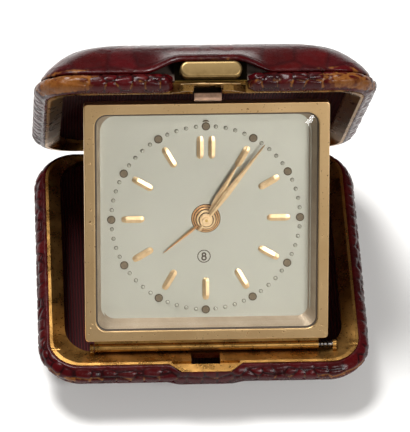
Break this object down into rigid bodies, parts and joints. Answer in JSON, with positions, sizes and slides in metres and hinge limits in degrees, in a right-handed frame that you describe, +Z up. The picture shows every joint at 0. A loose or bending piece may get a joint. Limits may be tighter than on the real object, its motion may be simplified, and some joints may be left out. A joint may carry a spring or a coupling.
{
  "type": "pendulette clock",
  "caption": "Folding travel alarm clock: a square gilt clock hinged in a domed leather clamshell case with brass rims and a push-button latch.",
  "frame": {"origin": "Middle of the flat underside of the case's base, on the table", "axes": "+X to the viewer's right, +Y to the back where the case hinge is, +Z up"},
  "size_m": [0.0934, 0.095, 0.092],
  "materials": {
    "crocodile_leather": "glossy",
    "board": "matt",
    "ribbed_cloth": "ribbed",
    "rim_brass": "satin gilt",
    "bezel_gilt": "satin gilt",
    "hinge_steel": "satin",
    "crystal_glass": "clear",
    "dial_silver": "satin",
    "polished_gilt": "polished",
    "luminous_paint": "matt",
    "movement_brass": "bright",
    "spring_steel": "bright"
  },
  "bodies": {
    "base": {"base_leather": "crocodile_leather", "base_shell": "board", "base_lining": "ribbed_cloth", "base_frame": "rim_brass", "case_hinge_pin": "hinge_steel", "clock_hinge_pin": "hinge_steel", "clock_spring": "spring_steel"},
    "lid": {"lid_leather": "crocodile_leather", "lid_shell": "board", "lid_lining": "ribbed_cloth", "lid_frame": "rim_brass", "latch_housing": "rim_brass", "button_springs": "spring_steel"},
    "latch": {"push_button": "rim_brass", "latch_hook": "rim_brass"},
    "clock": {"clock_hinge_leaf": "bezel_gilt", "bezel": "bezel_gilt", "crystal": "crystal_glass", "inner_frame": "bezel_gilt", "dial": "dial_silver", "hour_batons": "polished_gilt", "hour_dots": "luminous_paint", "front_plate": "movement_brass", "back_plate": "movement_brass", "pillars": "movement_brass", "alarm_barrel": "movement_brass", "balance_spring": "spring_steel", "clock_body": "bezel_gilt", "back_cover": "bezel_gilt", "cover_screws": "hinge_steel"},
    "minute_group": {"minute_hand": "polished_gilt", "hand_nut": "polished_gilt", "cannon_pinion": "movement_brass", "centre_wheel": "movement_brass", "hand_setting_knob": "movement_brass"},
    "hour_group": {"hour_hand": "polished_gilt", "hour_wheel": "movement_brass"},
    "minute_wheel_group": {"minute_wheel": "movement_brass"},
    "alarm_group": {"alarm_hand": "polished_gilt", "alarm_wheel": "movement_brass"},
    "alarm_knob_group": {"alarm_setting_knob": "movement_brass", "alarm_setting_wheel": "movement_brass"},
    "barrel_group": {"time_barrel": "movement_brass"},
    "third_group": {"third_wheel": "hinge_steel"},
    "fourth_group": {"fourth_wheel": "hinge_steel"},
    "escape_group": {"escape_wheel": "hinge_steel"},
    "pallet_group": {"pallet_fork": "hinge_steel"},
    "balance_group": {"balance": "movement_brass"},
    "hammer_group": {"alarm_hammer": "movement_brass"},
    "time_key_group": {"time_winding_key": "movement_brass"},
    "alarm_key_group": {"alarm_winding_key": "movement_brass"},
    "stop_group": {"alarm_stop_button": "movement_brass"},
    "regulator_group": {"regulator_lever": "movement_brass"}
  },
  "joints": [
    {"name": "lid_hinge", "type": "hinge", "parent": "base", "child": "lid", "pos_m": [0, 0.03945, 0.0165], "axis": [-1, 0, 0], "range_deg": [-6, 32]},
    {"name": "clock_tilt", "type": "hinge", "parent": "base", "child": "clock", "pos_m": [0, -0.03245, 0.0168], "axis": [1, 0, 0], "range_deg": [-54.2, 0], "stiffness_Nm_per_rad": 0.045, "springref_deg": 68.75, "deforming": ["clock_spring"]},
    {"name": "latch_slide", "type": "slide", "parent": "lid", "child": "latch", "axis": [0, 0.4939, -0.8695], "range_m": [0, 0.0012], "stiffness_N_per_m": 500, "springref_m": -0.001, "deforming": ["button_springs"]},
    {"name": "minute_spin", "type": "hinge", "parent": "clock", "child": "minute_group", "pos_m": [0.0004, -0.00856, 0.04343], "axis": [0, 0.8151, -0.5793], "continuous": true},
    {"name": "hour_spin", "type": "hinge", "parent": "clock", "child": "hour_group", "pos_m": [0.0004, -0.00856, 0.04343], "axis": [0, 0.8151, -0.5793], "continuous": true},
    {"name": "minute_wheel_spin", "type": "hinge", "parent": "clock", "child": "minute_wheel_group", "pos_m": [-0.00299, -0.00659, 0.0462], "axis": [0, 0.8151, -0.5793], "continuous": true},
    {"name": "barrel_spin", "type": "hinge", "parent": "clock", "child": "barrel_group", "pos_m": [-0.00943, -0.01254, 0.03782], "axis": [0, 0.8151, -0.5793], "continuous": true},
    {"name": "third_spin", "type": "hinge", "parent": "clock", "child": "third_group", "pos_m": [0.00474, -0.00556, 0.04765], "axis": [0, 0.8151, -0.5793], "continuous": true},
    {"name": "fourth_spin", "type": "hinge", "parent": "clock", "child": "fourth_group", "pos_m": [0.01001, -0.00667, 0.04608], "axis": [0, 0.8151, -0.5793], "continuous": true},
    {"name": "escape_spin", "type": "hinge", "parent": "clock", "child": "escape_group", "pos_m": [0.01265, -0.00402, 0.04981], "axis": [0, 0.8151, -0.5793], "continuous": true},
    {"name": "alarm_spin", "type": "hinge", "parent": "clock", "child": "alarm_group", "pos_m": [0.0004, -0.00856, 0.04343], "axis": [0, 0.8151, -0.5793], "continuous": true},
    {"name": "alarm_knob_spin", "type": "hinge", "parent": "clock", "child": "alarm_knob_group", "pos_m": [0.00659, -0.01107, 0.0399], "axis": [0, 0.8151, -0.5793], "continuous": true},
    {"name": "time_key_spin", "type": "hinge", "parent": "clock", "child": "time_key_group", "pos_m": [-0.00943, -0.01254, 0.03782], "axis": [0, 0.8151, -0.5793], "continuous": true},
    {"name": "alarm_key_spin", "type": "hinge", "parent": "clock", "child": "alarm_key_group", "pos_m": [0.0139, -0.0158, 0.03324], "axis": [0, 0.8151, -0.5793], "continuous": true},
    {"name": "pallet_rock", "type": "hinge", "parent": "clock", "child": "pallet_group", "pos_m": [0.01065, -0.00202, 0.05263], "axis": [0, 0.8151, -0.5793], "range_deg": [-4, 4]},
    {"name": "balance_swing", "type": "hinge", "parent": "clock", "child": "balance_group", "pos_m": [0.00795, 0.00069, 0.05645], "axis": [0, 0.8151, -0.5793], "range_deg": [-135, 135], "stiffness_Nm_per_rad": 0.0000005, "deforming": ["balance_spring"]},
    {"name": "hammer_swing", "type": "hinge", "parent": "clock", "child": "hammer_group", "pos_m": [-0.0196, -0.00045, 0.05484], "axis": [0, 0.8151, -0.5793], "range_deg": [-5, 5], "stiffness_Nm_per_rad": 0.0002},
    {"name": "regulator_turn", "type": "hinge", "parent": "clock", "child": "regulator_group", "pos_m": [0.00795, 0.00069, 0.05645], "axis": [0, 0.8151, -0.5793], "range_deg": [-20, 20]},
    {"name": "stop_press", "type": "slide", "parent": "clock", "child": "stop_group", "axis": [0, -0.8151, 0.5793], "range_m": [0, 0.0008], "stiffness_N_per_m": 150, "springref_m": -0.0005}
  ],
  "couplings": [
    {"joint": "hour_spin", "follows": "minute_spin", "ratio": 0.083333},
    {"joint": "minute_wheel_spin", "follows": "minute_spin", "ratio": -0.33333},
    {"joint": "barrel_spin", "follows": "minute_spin", "ratio": -0.14286},
    {"joint": "third_spin", "follows": "minute_spin", "ratio": -8},
    {"joint": "fourth_spin", "follows": "minute_spin", "ratio": 60},
    {"joint": "escape_spin", "follows": "minute_spin", "ratio": -600},
    {"joint": "alarm_knob_spin", "follows": "alarm_spin", "ratio": -1}
  ]
}
